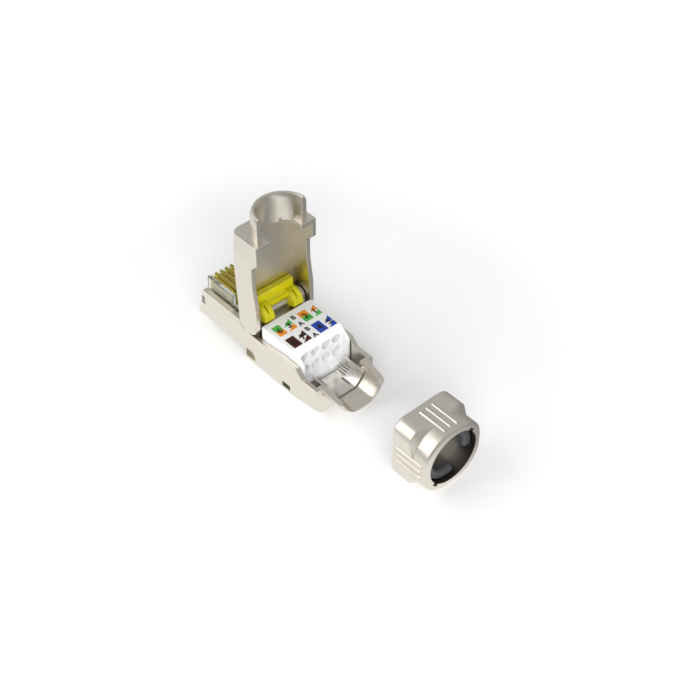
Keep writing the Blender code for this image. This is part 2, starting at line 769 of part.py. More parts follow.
def fork_rows():
    """Each row of forks: its place along the plug and its wire's height."""
    return ((FRONT_FORK_X, UPPER_HOLE_Z), (REAR_FORK_X, LOWER_HOLE_Z))


def make_contact_carrier(plastic):
    """The base under the wire manager, with a slot for each fork and a toe under the hinge."""
    half = INNER_HALF - SEAT_GAP
    low = carrier_bottom()
    carrier = block("carrier", MANAGER_START, wiring_end(), -half, half, low, MANAGER_BOTTOM - SEAT_GAP)
    width = FORK_WIDTH + 2 * SEAT_GAP
    depth = FORK_THICKNESS + 2 * SEAT_GAP
    for x, _ in fork_rows():
        for y in wire_places():
            cut(carrier, block("slot", x - depth / 2, x + depth / 2, y - width / 2, y + width / 2, -1.0, FAR))
    return finish(carrier, "contact_carrier", plastic)


def make_wire_contacts(bronze):
    """Eight forks that stand on the board and reach just past the middle of their wire."""
    low = board_bottom() + BOARD_THICKNESS + SEAT_GAP / 2
    number = 0
    half = FORK_WIDTH / 2
    slot = FORK_SLOT / 2
    for x, wire_z in fork_rows():
        top = wire_z + FORK_REACH
        for y in wire_places():
            number += 1
            shoulder = top - FORK_MOUTH
            bottom = top - FORK_SLOT_DEPTH
            outline = [(y - half, low), (y + half, low), (y + half, shoulder), (y + 1.5 * slot, top),
                       (y + slot, shoulder), (y + slot, bottom), (y - slot, bottom), (y - slot, shoulder),
                       (y - 1.5 * slot, top), (y - half, shoulder)]
            fork = prism_x("fork", outline, x - FORK_THICKNESS / 2, x + FORK_THICKNESS / 2)
            finish(fork, f"wire_contact_{number}", bronze)


def make_wire_manager(white):
    """The white block: a chamfered rear with the wire holes in a recess, and a skirt behind the carrier."""
    half = manager_half()
    x0 = MANAGER_START
    x1 = MANAGER_END
    skirt_low = board_bottom()
    side = [(x0, MANAGER_BOTTOM), (x1 - MANAGER_SKIRT, MANAGER_BOTTOM), (x1 - MANAGER_SKIRT, skirt_low),
            (x1, skirt_low), (x1, MANAGER_TOP - MANAGER_CHAMFER_Z), (x1 - MANAGER_CHAMFER_X, MANAGER_TOP),
            (x0 + 0.15, MANAGER_TOP), (x0, MANAGER_TOP - 0.15)]
    manager = prism_y("manager", side, -half, half)
    face = x1 - MANAGER_RECESS
    recess = [(face, RECESS_FLOOR), (x1 + 1.0, RECESS_FLOOR - RECESS_FALL * (1.0 + 1.0 / MANAGER_RECESS)),
              (x1 + 1.0, FAR), (face, FAR)]
    cut(manager, prism_y("recess", recess, MANAGER_CHEEK - half, half - MANAGER_CHEEK))
    depth = FORK_THICKNESS + 2 * SEAT_GAP
    width = FORK_WIDTH + 2 * SEAT_GAP
    for x, wire_z in fork_rows():
        top = wire_z + FORK_REACH + SEAT_GAP
        for y in wire_places():
            pocket = block("pocket", x - depth / 2, x + depth / 2, y - width / 2, y + width / 2, -1.0, top)
            cut(manager, pocket)
            hole = circle(y, wire_z, WIRE_HOLE_RADIUS, 20, 9.0)
            cut(manager, prism_x("hole", hole, x - WIRE_HOLE_DEPTH, x1 + 1.0))
    for y in wire_places():
        rings = []
        for x, z in ((face - GUIDE_RADIUS, LOWER_HOLE_Z), (x1 + GUIDE_RADIUS, LOWER_HOLE_Z - GUIDE_FALL)):
            rings.append([(x, a, b) for a, b in circle(y, z, GUIDE_RADIUS, 16, 11.25)])
        cut(manager, loft("guide", rings))
    return finish(manager, "wire_manager", white)


def make_shield_clip(nickel):
    """The spring clip in the neck: a bent strip on the bore, with a comb of fingers towards the wires."""
    left, right = trough_section(SEAT_GAP, CLIP_TOP)
    inner_left, inner_right = trough_section(SEAT_GAP + CLIP_THICKNESS, CLIP_TOP)
    section = left + right + list(reversed(inner_right)) + list(reversed(inner_left))
    clip = prism_x("clip", section, CLIP_START, CLIP_END)
    middle, radius, low = trough_arc(SEAT_GAP + CLIP_THICKNESS / 2)
    high = -math.degrees(math.asin((LOWER_TUBE_Z - CLIP_TOP) / radius))
    x1 = CLIP_START + CLIP_FINGER_LENGTH
    for i in range(1, CLIP_FINGERS):
        angle = math.radians(low + (high - low) * i / CLIP_FINGERS)
        for side in (-1, 1):
            corners = []
            for reach, way in ((-1, -1), (1, -1), (1, 1), (-1, 1)):
                out = radius + reach * CLIP_THICKNESS
                across = way * CLIP_FINGER_GAP / 2
                y = middle + out * math.cos(angle) - across * math.sin(angle)
                z = LOWER_TUBE_Z + out * math.sin(angle) + across * math.cos(angle)
                corners.append((side * y, z))
            cut(clip, prism_x("gap", corners, CLIP_START - 1.0, x1))
    y0 = TUBE_FLAT - 1.5 * CLIP_SLOT_WIDTH
    slot_end = CLIP_SLOT_START + CLIP_SLOT_LENGTH
    cut(clip, block("slot", CLIP_SLOT_START, slot_end, y0, y0 + CLIP_SLOT_WIDTH, -1.0, LOWER_TUBE_Z))
    return finish(clip, "shield_clip", nickel)


def collar_front():
    return TUBE_END + COLLAR_GAP


def collar_section(place, inset, corner):
    """One ring of points round the collar, at a place behind its front."""
    half = COLLAR_HALF - inset
    centre = collar_centre_z()
    x = collar_front() + place
    return [(x, y, z) for y, z in rounded_rectangle(half, centre - half, centre + half, corner - inset, 8)]


def collar_centre_z():
    """The collar's middle: it lies on the ribs of its lower face."""
    return COLLAR_HALF + RIB_HEIGHT


def add_collar_ribs(collar):
    """Adds three grip ribs on each of the four flat faces."""
    half = COLLAR_HALF
    centre = Vector((0.0, 0.0, collar_centre_z()))
    x0 = collar_front() + RIB_START
    x1 = x0 + RIB_LENGTH
    low = half - 0.2
    high = half + RIB_HEIGHT
    for quarter in range(4):
        turn = Matrix.Rotation(math.radians(90.0 * quarter), 4, "X")
        for i in (-1, 0, 1):
            y = i * RIB_PITCH
            w = RIB_WIDTH / 2
            rings = []
            for z, trim in ((low, 0.0), (half, 0.0), (high, 0.12)):
                corners = [(x0 + trim, y - w + trim), (x1 - trim, y - w + trim), (x1 - trim, y + w - trim),
                           (x0 + trim, y + w - trim)]
                rings.append([centre + turn @ Vector((a, b, z)) for a, b in corners])
            join(collar, loft("rib", rings))


def make_locking_collar(metal):
    """The collar: square in front, rounder behind, with a crescent step at each corner."""
    front = collar_front()
    end = front + COLLAR_LENGTH
    slope_end = COLLAR_FRONT_LENGTH + COLLAR_SLOPE_LENGTH
    collar = loft("collar", [
        collar_section(0.0, COLLAR_FRONT_EDGE, COLLAR_FRONT_CORNER),
        collar_section(COLLAR_FRONT_EDGE, 0.0, COLLAR_FRONT_CORNER),
        collar_section(COLLAR_FRONT_LENGTH, 0.0, COLLAR_FRONT_CORNER),
        collar_section(slope_end, 0.0, COLLAR_SLOPE_CORNER),
        collar_section(slope_end + 0.05, 0.0, COLLAR_REAR_CORNER),
        collar_section(COLLAR_LENGTH - COLLAR_REAR_EDGE, 0.0, COLLAR_REAR_CORNER),
        collar_section(COLLAR_LENGTH, COLLAR_REAR_EDGE, COLLAR_REAR_CORNER),
    ])
    add_collar_ribs(collar)
    z = collar_centre_z()
    cut(collar, prism_x("bore", circle(0.0, z, COLLAR_REAR_BORE, 40), front - 1.0, end + 1.0))
    depth = front + COLLAR_FRONT_BORE_DEPTH
    cut(collar, prism_x("tube room", circle(0.0, z, COLLAR_FRONT_BORE, 40), front - 1.0, depth))
    reach = COLLAR_REAR_BORE + KEYWAY_DEPTH
    for angle in (-45.0, 135.0):
        turn = Matrix.Rotation(math.radians(angle), 4, "X")
        w = KEYWAY_WIDTH / 2
        corners = [(-w, 0.0), (w, 0.0), (w, reach), (-w, reach)]
        rings = []
        for x in (depth - 0.5, end + 1.0):
            rings.append([Vector((x, 0.0, z)) + turn @ Vector((0.0, a, b)) for a, b in corners])
        cut(collar, loft("keyway", rings))
    return finish(collar, "locking_collar", metal)


def make_collar_jaws(black):
    """Two black jaws inside the rear of the collar, either side of the cable."""
    x0 = collar_front() + COLLAR_FRONT_BORE_DEPTH + 0.1
    x1 = x0 + JAW_LENGTH
    radius = COLLAR_REAR_BORE - SEAT_GAP
    bore = radius - JAW_WALL
    z = collar_centre_z()
    for name, middle in (("collar_jaw_upper", 45.0), ("collar_jaw_lower", 225.0)):
        start = middle - JAW_HALF_ANGLE
        end = middle + JAW_HALF_ANGLE
        rings = []
        for x, inner in ((x0, bore + JAW_CHAMFER), (x0 + JAW_CHAMFER, bore), (x1 - JAW_CHAMFER, bore),
                         (x1, bore + JAW_CHAMFER)):
            section = arc(0.0, z, radius, start, end, 12) + arc(0.0, z, inner, end, start, 12)
            rings.append([(x, a, b) for a, b in section])
        finish(loft("jaw", rings), name, black)


def build():
    for old in list(bpy.data.objects):
        bpy.data.objects.remove(old, do_unlink=True)
    metal = material("satin nickel", (0.72, 0.68, 0.61), 0.32, 1.0)
    nickel = material("bright nickel", (0.80, 0.77, 0.70), 0.22, 1.0)
    steel = material("steel", (0.60, 0.60, 0.58), 0.30, 1.0)
    yellow = material("yellow tinted plastic", (0.90, 0.78, 0.02), 0.15, 0.0, 0.6)
    clear = material("clear plastic", (0.90, 0.93, 0.85), 0.08, 0.0, 0.9)
    gold = material("gold plating", (0.83, 0.60, 0.22), 0.25, 1.0)
    bronze = material("tinned bronze", (0.72, 0.62, 0.45), 0.30, 1.0)
    laminate = material("green laminate", (0.05, 0.22, 0.09), 0.45)
    white = material("white plastic", (0.88, 0.89, 0.90), 0.40)
    black = material("black plastic", (0.02, 0.02, 0.02), 0.50)
    make_lower_housing(metal)
    make_lid(metal)
    make_hinge_pin(steel)
    make_press_bar(yellow)
    make_plug_nose(clear)
    make_contact_block(yellow)
    make_plug_contacts(gold)
    make_latch_lever(yellow)
    make_circuit_board(laminate)
    make_contact_carrier(black)
    make_wire_contacts(bronze)
    make_wire_manager(white)
    make_shield_clip(nickel)
    make_locking_collar(metal)
    make_collar_jaws(black)


build()
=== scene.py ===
"""Looks of the field termination plug: its finishes, its wiring code, the floor, the light and the camera.

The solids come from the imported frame. Castings and mouldings are copied and given soft edges, the wiring
code is printed on the wire manager, and every surface gets its own finish.
"""

import math

import bpy
from bpy.props import FloatProperty, FloatVectorProperty, PointerProperty
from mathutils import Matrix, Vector
from mathutils.geometry import intersect_point_line


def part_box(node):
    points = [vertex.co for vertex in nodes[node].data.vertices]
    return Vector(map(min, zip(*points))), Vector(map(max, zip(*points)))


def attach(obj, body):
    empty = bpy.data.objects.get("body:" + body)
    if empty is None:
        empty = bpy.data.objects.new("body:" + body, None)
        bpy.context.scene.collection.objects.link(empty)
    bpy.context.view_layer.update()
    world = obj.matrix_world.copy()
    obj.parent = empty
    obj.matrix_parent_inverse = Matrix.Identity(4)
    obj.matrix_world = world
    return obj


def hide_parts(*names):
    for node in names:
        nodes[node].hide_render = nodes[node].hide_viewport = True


bl_info = {
    "name": "Field termination plug looks",
    "version": (1, 0, 0),
    "blender": (4, 5, 0),
    "location": "3D View > Sidebar > Plug",
    "description": "Finishes, wiring code, floor, light and camera of the plug",
    "category": "Object",
}

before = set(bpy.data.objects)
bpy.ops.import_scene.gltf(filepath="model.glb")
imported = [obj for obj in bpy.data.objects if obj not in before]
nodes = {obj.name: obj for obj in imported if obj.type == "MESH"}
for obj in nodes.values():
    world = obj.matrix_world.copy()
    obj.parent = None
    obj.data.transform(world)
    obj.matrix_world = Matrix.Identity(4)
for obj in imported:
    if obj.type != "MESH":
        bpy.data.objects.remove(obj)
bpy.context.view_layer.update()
MM = 0.001

# Edges sharper than this are rounded, and gentler ones are shaded smooth
SHARP_EDGE = math.radians(35.0)

# Faces that turn less than this, and points nearer than this in millimetres, are merged
FLAT_TURN = math.radians(0.6)
SAME_POINT = 0.001

# Faces across a rounded edge
ROUNDING_STEPS = 2

# Room that an edge needs beside it to be rounded, for each unit of the radius
ROOM_SHARE = 2.2

# Corners narrower than this have no room for a rounded edge
NARROW_CORNER = math.radians(40.0)

# Length over which the painted shade in the collar's bore narrows
BORE_SHADE_BLEND = 0.05 * MM

# The wiring code: wire number, row, its sides across the plug in millimetres, the colour of its front half,
# the colour of its rear half, and whether the wire is striped with white
CODE_FIELDS = (
    ("6", 0, -4.2, -2.75, "green", "orange", False),
    ("3", 0, -2.4, -0.75, "green", "orange", True),
    ("2", 0, 0.98, 2.62, "orange", "green", False),
    ("1", 0, 2.9, 4.35, "orange", "green", True),
    ("8", 1, -4.25, -2.63, "brown", "brown", False),
    ("7", 1, -2.4, -0.76, "brown", "brown", True),
    ("4", 1, 0.98, 2.66, "blue", "blue", False),
    ("5", 1, 2.95, 4.46, "blue", "blue", True),
)

# Where the letters A and B stand across the plug
LETTER_PLACE = 0.1 * MM

# How much bolder the characters are than their typeface, and how thick before they are flattened to ink
CHARACTER_BOLDNESS = 0.03
CHARACTER_DEPTH = 0.1

# Width of the square floor, and its gap below the plug
FLOOR_WIDTH = 4.0
FLOOR_GAP = 0.02 * MM

# Where the floor turns from dark to bright and back to dark in reflections, across the plug
NEAR_FLOOR = (-60 * MM, -30 * MM)
FAR_FLOOR = (0 * MM, 12 * MM)

# Distances from the plug between which the floor is lifted to full white
LIFTED_FLOOR = (40 * MM, 160 * MM)

# Slopes of a reflection between which the sky goes from the horizon's strength to the ceiling's
SKY_RISE = (0.0, 0.75)

# Width in millimetres of the film that the lens is given for
FILM_WIDTH = 36.0


# Settings that a user may change


def linear(red, green, blue):
    """A colour from its values out of 255 on a screen."""
    shares = [value / 255 for value in (red, green, blue)]
    return tuple(s / 12.92 if s <= 0.04045 else ((s + 0.055) / 1.055) ** 2.4 for s in shares)


def length(name, description, default):
    """A size, given in millimetres."""
    return FloatProperty(name=name, description=description, default=default * MM, unit="LENGTH", precision=5)


def position(name, description, default):
    """A place in space, given in millimetres."""
    return FloatVectorProperty(name=name, description=description, default=[value * MM for value in default],
                               unit="LENGTH", precision=5, size=3)


def angle(name, description, default):
    """An angle, given in degrees."""
    return FloatProperty(name=name, description=description, default=math.radians(default), subtype="ANGLE")


def colour(name, description, default):
    """A colour, given in linear values."""
    return FloatVectorProperty(name=name, description=description, default=default, subtype="COLOR",
                               min=0.0, max=1.0, size=3)


def share(name, description, default):
    """A share between nothing and all."""
    return FloatProperty(name=name, description=description, default=default, subtype="FACTOR",
                         min=0.0, max=1.0)


def strength(name, description, default):
    """The strength of a light without a place."""
    return FloatProperty(name=name, description=description, default=default, min=0.0)


def power(name, description, default):
    """The power of a lamp, in watts."""
    return FloatProperty(name=name, description=description, default=default, min=0.0, unit="POWER")


class PlugSizes(bpy.types.PropertyGroup):
    casting_edge: length("Casting edge", "Radius of the edges of the die castings", 0.09)
    moulding_edge: length("Moulding edge", "Radius of the edges of the plastic mouldings", 0.1)
    # The three sizes below set the painted shade in the collar's bore: its radius in front, its radius
    # behind, and where it narrows
    collar_wide_bore_shade: length("Wide bore", "Distance from the collar's axis that is dark in front", 5.35)
    collar_narrow_bore_shade: length("Narrow bore", "Distance from the collar's axis that is dark behind", 4.62)
    collar_bore_shade_step: length("Bore step", "How far before its rear face the collar's dark bore narrows", 0.35)
    print_height: length("Print height", "How far the ink stands proud of the wire manager", 0.012)
    digit_height: length("Digit height", "Height of the wire numbers", 1.25)
    letter_height: length("Letter height", "Height of the letters A and B", 0.95)
    flat_top_end: length("Flat top end", "Where the wire manager's flat top ends along the plug", 5.495)
    code_end: length("Code end", "Distance of the rear fields from the rear edge of the flat top", 0.12)
    field_length: length("Field length", "Length of a field along the plug", 2.45)
    row_gap: length("Row gap", "Gap between the two rows of fields", 0.97)


class PlugColours(bpy.types.PropertyGroup):
    casting: colour("Casting", "Nickel plating of the die castings", (0.83, 0.78, 0.69))
    # The bore colour is painted shade laid into the collar's bore, not a cast finish
    bore: colour("Bore", "Bore of the locking collar, left as cast", (0.12, 0.11, 0.095))
    spring: colour("Spring", "Bright nickel plating of the spring clip", (0.86, 0.83, 0.77))
    steel: colour("Steel", "Hinge pin", (0.60, 0.60, 0.58))
    gold: colour("Gold", "Gold plating of the contact blades", (0.83, 0.58, 0.20))
    bronze: colour("Bronze", "Tinned bronze of the wire contacts", (0.72, 0.62, 0.45))
    yellow: colour("Yellow", "Yellow tinted clear plastic", (1.0, 0.9, 0.01))
    # A darker copy of the yellow plastic for the block and the lever: the darkness is painted shade
    deep_yellow: colour("Deep yellow", "Tinted plastic of the block and the lever", (0.66, 0.58, 0.01))
    clear: colour("Clear", "Clear plastic of the nose", (0.93, 0.95, 0.90))
    white: colour("White", "Wire manager", (0.95, 0.955, 0.96))
    black: colour("Black", "Clamping jaws and contact carrier", (0.06, 0.06, 0.065))
    laminate: colour("Laminate", "Circuit board", (0.03, 0.16, 0.06))
    ink_green: colour("Green ink", "Green fields of the wiring code", linear(86, 190, 86))
    ink_orange: colour("Orange ink", "Orange fields of the wiring code", linear(250, 155, 45))
    ink_blue: colour("Blue ink", "Blue fields of the wiring code", linear(25, 70, 180))
    ink_brown: colour("Brown ink", "Brown fields of the wiring code", linear(70, 25, 15))
    ink_black: colour("Black ink", "Numbers and letters", linear(25, 22, 22))


class PlugFinishes(bpy.types.PropertyGroup):
    casting_roughness: share("Castings", "Roughness of the trough and the lid where smoothest", 0.31)
    collar_roughness: share("Collar", "Roughness of the locking collar where smoothest", 0.33)
    spring_roughness: share("Spring clip", "Roughness of the spring clip", 0.18)
    steel_roughness: share("Hinge pin", "Roughness of the hinge pin", 0.28)
    gold_roughness: share("Blades", "Roughness of the contact blades", 0.22)
    bronze_roughness: share("Forks", "Roughness of the wire contacts", 0.3)
    clear_roughness: share("Clear plastics", "Roughness of the clear plastics where smoothest", 0.05)
    white_roughness: share("White plastic", "Roughness of the wire manager", 0.34)
    black_roughness: share("Black plastic", "Roughness of the jaws and the contact carrier", 0.42)
    yellow_clearness: share("Press bar clearness", "How much light passes the press bar", 0.45)
    shaded_yellow_clearness: share("Block clearness", "How much light passes the block and the lever", 0.7)
    nose_clearness: share("Nose clearness", "How much light passes the nose", 0.95)
    white_glow: share("White glow", "How much light spreads inside the wire manager", 0.04)


class PlugStage(bpy.types.PropertyGroup):
    floor_colour: colour("Floor", "Pale floor", (0.86, 0.86, 0.86))
    floor_lift: share("Floor lift", "Light that the floor adds where the camera sees it", 0.2)
    floor_gloss: share("Floor in reflections", "How bright reflections see the floor beside the plug", 0.95)
    floor_far: share("Far floor in reflections", "How bright reflections see the floor farther off", 0.3)
    sky_strength: strength("Sky", "Strength of the soft light all round", 0.5)
    horizon_strength: strength("Horizon", "How bright reflections see the sky low down", 0.36)
    ceiling_strength: strength("Ceiling", "How bright reflections see the sky overhead", 0.5)
    key_power: power("Key lamp", "Power of the main lamp", 0.9)
    key_width: length("Key lamp width", "Width of the main lamp", 460.0)
    key_place: position("Key lamp place", "Where the main lamp hangs", (-220.0, -290.0, 250.0))
    fill_power: power("Fill lamp", "Power of the fill lamp", 1.15)
    fill_width: length("Fill lamp width", "Width of the fill lamp", 260.0)
    fill_place: position("Fill lamp place", "Where the fill lamp hangs", (300.0, -200.0, 150.0))
    camera_place: position("Camera", "Where the camera stands", (113.55, -91.23, 140.35))
    camera_azimuth: angle("Azimuth", "Turn of the camera from +Y towards -X", 48.35)
    camera_elevation: angle("Elevation", "How far down the camera looks", 43.15)
    camera_lens: FloatProperty(name="Lens", description="Focal length in millimetres", default=66.22, min=1.0)


# Node helpers


def new_surface(name):
    """An empty finish: the material, its node tree and its main shader."""
    surface = bpy.data.materials.new(name)
    surface.use_nodes = True
    return surface, surface.node_tree, surface.node_tree.nodes["Principled BSDF"]


def feed(tree, socket, value):
    """Gives a socket its value, which is another socket to link, a number or a colour."""
    if isinstance(value, bpy.types.NodeSocket):
        tree.links.new(value, socket)
    elif isinstance(value, float):
        socket.default_value = value
    else:
        socket.default_value = (*value, 1.0)


def object_coordinates(tree, stretch=(1.0, 1.0, 1.0), shift=(0.0, 0.0, 0.0)):
    """Object coordinates in metres, each multiplied by its stretch and then shifted."""
    source = tree.nodes.new("ShaderNodeTexCoord")
    mapping = tree.nodes.new("ShaderNodeMapping")
    mapping.inputs["Scale"].default_value = stretch
    mapping.inputs["Location"].default_value = shift
    tree.links.new(source.outputs["Object"], mapping.inputs["Vector"])
    return mapping.outputs["Vector"]


def coordinate(tree, vector, axis):
    """One coordinate of a vector."""
    node = tree.nodes.new("ShaderNodeSeparateXYZ")
    tree.links.new(vector, node.inputs["Vector"])
    return node.outputs[axis]


def vector_length(tree, vector):
    """The length of a vector."""
    node = tree.nodes.new("ShaderNodeVectorMath")
    node.operation = "LENGTH"
    tree.links.new(vector, node.inputs[0])
    return node.outputs["Value"]


def calculated(tree, operation, first, second):
    """The result of one step of arithmetic on two sockets."""
    node = tree.nodes.new("ShaderNodeMath")
    node.operation = operation
    tree.links.new(first, node.inputs[0])
    tree.links.new(second, node.inputs[1])
    return node.outputs["Value"]


def noise(tree, vector, grain, detail=3.0, roughness=0.5):
    """A noise whose grains are about the given size in metres."""
    node = tree.nodes.new("ShaderNodeTexNoise")
    node.inputs["Scale"].default_value = 1.0 / grain
    node.inputs["Detail"].default_value = detail
    node.inputs["Roughness"].default_value = roughness
    tree.links.new(vector, node.inputs["Vector"])
    return node.outputs["Fac"]


def ranged(tree, value, low, high, start=0.3, end=0.7):
    """Maps what lies between start and end, where a noise mostly lies, onto low to high."""
    node = tree.nodes.new("ShaderNodeMapRange")
    node.inputs["From Min"].default_value = start
    node.inputs["From Max"].default_value = end
    node.inputs["To Min"].default_value = low
    node.inputs["To Max"].default_value = high
    tree.links.new(value, node.inputs["Value"])
    return node.outputs["Result"]


def mixed(tree, factor, first, second, kind="RGBA"):
    """Mixes two colours by a factor, or two numbers where the kind is FLOAT."""
    node = tree.nodes.new("ShaderNodeMix")
    node.data_type = kind
    tree.links.new(factor, node.inputs["Factor"])
    feed(tree, node.inputs["A"], first)
    feed(tree, node.inputs["B"], second)
    return node.outputs["Result"]


def shade(tint, factor):
    """A colour made darker or lighter."""
    return tuple(min(1.0, value * factor) for value in tint)


def vary_colour(tree, shader, pattern, tint, dark, light):
    """Lets the colour wander with a pattern between a darker and a lighter shade of its tint."""
    blend = mixed(tree, ranged(tree, pattern, 0.0, 1.0), shade(tint, dark), shade(tint, light))
    tree.links.new(blend, shader.inputs["Base Color"])


def vary_roughness(tree, shader, pattern, low, high):
    """Lets the roughness wander with a pattern."""
    tree.links.new(ranged(tree, pattern, low, high), shader.inputs["Roughness"])


def bump(tree, shader, heights, depth):
    """Raises the surface by a height pattern, with its full depth in metres."""
    node = tree.nodes.new("ShaderNodeBump")
    node.inputs["Strength"].default_value = 1.0
    node.inputs["Distance"].default_value = depth
    tree.links.new(heights, node.inputs["Height"])
    tree.links.new(node.outputs["Normal"], shader.inputs["Normal"])


# Finishes


def cast_nickel(name, tint, roughness):
    """Satin nickel over a die casting: fine pits, soft cloudy gloss and faint flow marks."""
    surface, tree, shader = new_surface(name)
    flow = object_coordinates(tree, stretch=(0.25, 1.0, 1.0))
    clouds = noise(tree, flow, grain=3.5 * MM, detail=2.0, roughness=0.4)
    marks = noise(tree, flow, grain=2.0 * MM, detail=1.0)
    pits = noise(tree, object_coordinates(tree), grain=0.35 * MM, detail=1.0)
    vary_colour(tree, shader, clouds, tint, dark=0.97, light=1.02)
    vary_roughness(tree, shader, marks, roughness, roughness + 0.06)
    shader.inputs["Metallic"].default_value = 1.0
    bump(tree, shader, pits, depth=0.0005 * MM)
    return surface


def paint_bore_shade(surface, tint, sizes):
    """Paints shade into the collar's bore: its colour turns dark inside a wide radius, and inside a narrow
    one through the rear wall.
    """
    tree = surface.node_tree
    base = tree.nodes["Principled BSDF"].inputs["Base Color"]
    low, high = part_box("locking_collar")
    axis_height = (low[2] + high[2]) / 2
    step = high[0] - sizes.collar_bore_shade_step
    across = object_coordinates(tree, stretch=(0.0, 1.0, 1.0), shift=(0.0, 0.0, -axis_height))
    along = coordinate(tree, object_coordinates(tree), "X")
    radius = ranged(tree, along, sizes.collar_wide_bore_shade, sizes.collar_narrow_bore_shade, step - BORE_SHADE_BLEND, step)
    # Points nearer the axis than the radius get the painted shade
    inside = calculated(tree, "LESS_THAN", vector_length(tree, across), radius)
    plated = base.links[0].from_socket
    tree.links.new(mixed(tree, inside, plated, tint), base)


def drawn_metal(name, tint, roughness, stretch):
    """Rolled or drawn metal with fine lines along the axis that has the smallest stretch."""
    surface, tree, shader = new_surface(name)
    lines = noise(tree, object_coordinates(tree, stretch), grain=0.2 * MM, detail=3.0)
    vary_colour(tree, shader, lines, tint, dark=0.9, light=1.05)
    vary_roughness(tree, shader, lines, roughness - 0.05, roughness + 0.07)
    shader.inputs["Metallic"].default_value = 1.0
    bump(tree, shader, lines, depth=0.002 * MM)
    return surface


def tinted_plastic(name, tint, clearness, roughness):
    """Clear moulded plastic with slight swirls in its tint."""
    surface, tree, shader = new_surface(name)
    swirls = noise(tree, object_coordinates(tree, stretch=(0.4, 1.0, 1.0)), grain=1.6 * MM, detail=2.0)
    waves = noise(tree, object_coordinates(tree), grain=0.9 * MM, detail=1.0)
    vary_colour(tree, shader, swirls, tint, dark=0.9, light=1.05)
    vary_roughness(tree, shader, swirls, roughness, roughness + 0.06)
    shader.inputs["Transmission Weight"].default_value = clearness
    shader.inputs["IOR"].default_value = 1.58
    bump(tree, shader, waves, depth=0.006 * MM)
    return surface


def moulded_plastic(name, tint, roughness, grain, glow=0.0):
    """Solid moulded plastic with a fine eroded texture."""
    surface, tree, shader = new_surface(name)
    place = object_coordinates(tree)
    fine = noise(tree, place, grain, detail=2.0)
    broad = noise(tree, place, grain=3.0 * MM, detail=2.0)
    vary_colour(tree, shader, broad, tint, dark=0.96, light=1.02)
    vary_roughness(tree, shader, fine, roughness - 0.05, roughness + 0.08)
    shader.inputs["Subsurface Weight"].default_value = glow
    shader.inputs["Subsurface Radius"].default_value = (0.6 * MM, 0.6 * MM, 0.6 * MM)
    shader.inputs["Subsurface Scale"].default_value = 1.0
    bump(tree, shader, fine, depth=0.0025 * MM)
    return surface


def printed_ink(name, tint):
    """Pad printed ink: a little uneven, a little rougher than what it lies on."""
    surface, tree, shader = new_surface(name)
    mottle = noise(tree, object_coordinates(tree), grain=0.25 * MM, detail=4.0, roughness=0.6)
    vary_colour(tree, shader, mottle, tint, dark=0.86, light=1.1)
    vary_roughness(tree, shader, mottle, 0.4, 0.55)
    bump(tree, shader, mottle, depth=0.002 * MM)
    return surface


def board_laminate(name, tint):
    """Green solder mask over a woven laminate."""
    surface, tree, shader = new_surface(name)
    place = object_coordinates(tree)
    weave = tree.nodes.new("ShaderNodeTexWave")
    weave.inputs["Scale"].default_value = 1.0 / (0.9 * MM)
    weave.inputs["Distortion"].default_value = 1.5
    tree.links.new(place, weave.inputs["Vector"])
    threads = weave.outputs["Fac"]
    tree.links.new(mixed(tree, threads, shade(tint, 0.8), shade(tint, 1.3)), shader.inputs["Base Color"])
    vary_roughness(tree, shader, noise(tree, place, grain=0.5 * MM), 0.3, 0.45)
    bump(tree, shader, threads, depth=0.004 * MM)
    return surface


# Modelling helpers


def deselect():
    bpy.ops.object.select_all(action="DESELECT")


def make_active(piece):
    """Makes a piece the only one that is selected."""
    deselect()
    piece.select_set(True)
    bpy.context.view_layer.objects.active = piece


def apply_modifier(piece, kind, **settings):
    """Adds a modifier with its settings and applies it."""
    make_active(piece)
    modifier = piece.modifiers.new(kind.title(), kind)
    for name, value in settings.items():
        setattr(modifier, name, value)
    bpy.ops.object.modifier_apply(modifier=modifier.name)


def paint(piece, surface):
    """Gives a piece one finish and the record's material slot."""
    piece.data.materials.clear()
    piece.data.materials.append(surface)


def paint_nodes(names, surface):
    """Gives frame nodes that keep their own mesh a better finish."""
    for name in names:
        mesh = nodes[name].data
        mesh.materials.clear()
        mesh.materials.append(surface)


def resize(piece, factor):
    """Scales a piece about the origin, in its mesh."""
    make_active(piece)
    piece.scale = (factor, factor, factor)
    bpy.ops.object.transform_apply()


def gap_to_edge(point, start, end):
    """Distance from a point to the nearest point of an edge."""
    nearest, share_along = intersect_point_line(point, start, end)
    if share_along <= 0.0:
        nearest = start
    elif share_along >= 1.0:
        nearest = end
    return (point - nearest).length


def edge_ends(mesh, edge):
    """The places of an edge's two ends."""
    return [mesh.vertices[index].co for index in edge]


def corner_angle(mesh, key, other, corner):
    """Angle between two edges of a face at the corner that they share."""
    place = mesh.vertices[corner].co
    ends = [(set(edge) - {corner}).pop() for edge in (key, other)]
    first, second = (mesh.vertices[end].co - place for end in ends)
    return first.angle(second)


def face_has_room(mesh, face, key, room):
    """Whether an edge has wide corners in a face, and the room asked for to the face's other edges."""
    start, end = edge_ends(mesh, key)
    for other in face.edge_keys:
        shared = set(other) & set(key)
        if len(shared) == 1 and corner_angle(mesh, key, other, *shared) < NARROW_CORNER:
            return False
        if shared:
            continue
        first, second = edge_ends(mesh, other)
        gaps = (gap_to_edge(first, start, end), gap_to_edge(second, start, end),
                gap_to_edge(start, first, second), gap_to_edge(end, first, second))
        if min(gaps) < room:
            return False
    return True


def crowded_corners(mesh, room):
    """Corners at the ends of edges that are shorter than the room asked for."""
    crowded = set()
    for edge in mesh.edges:
        start, end = edge_ends(mesh, edge.vertices)
        if (start - end).length < room:
            crowded.update(edge.vertices)
    return crowded


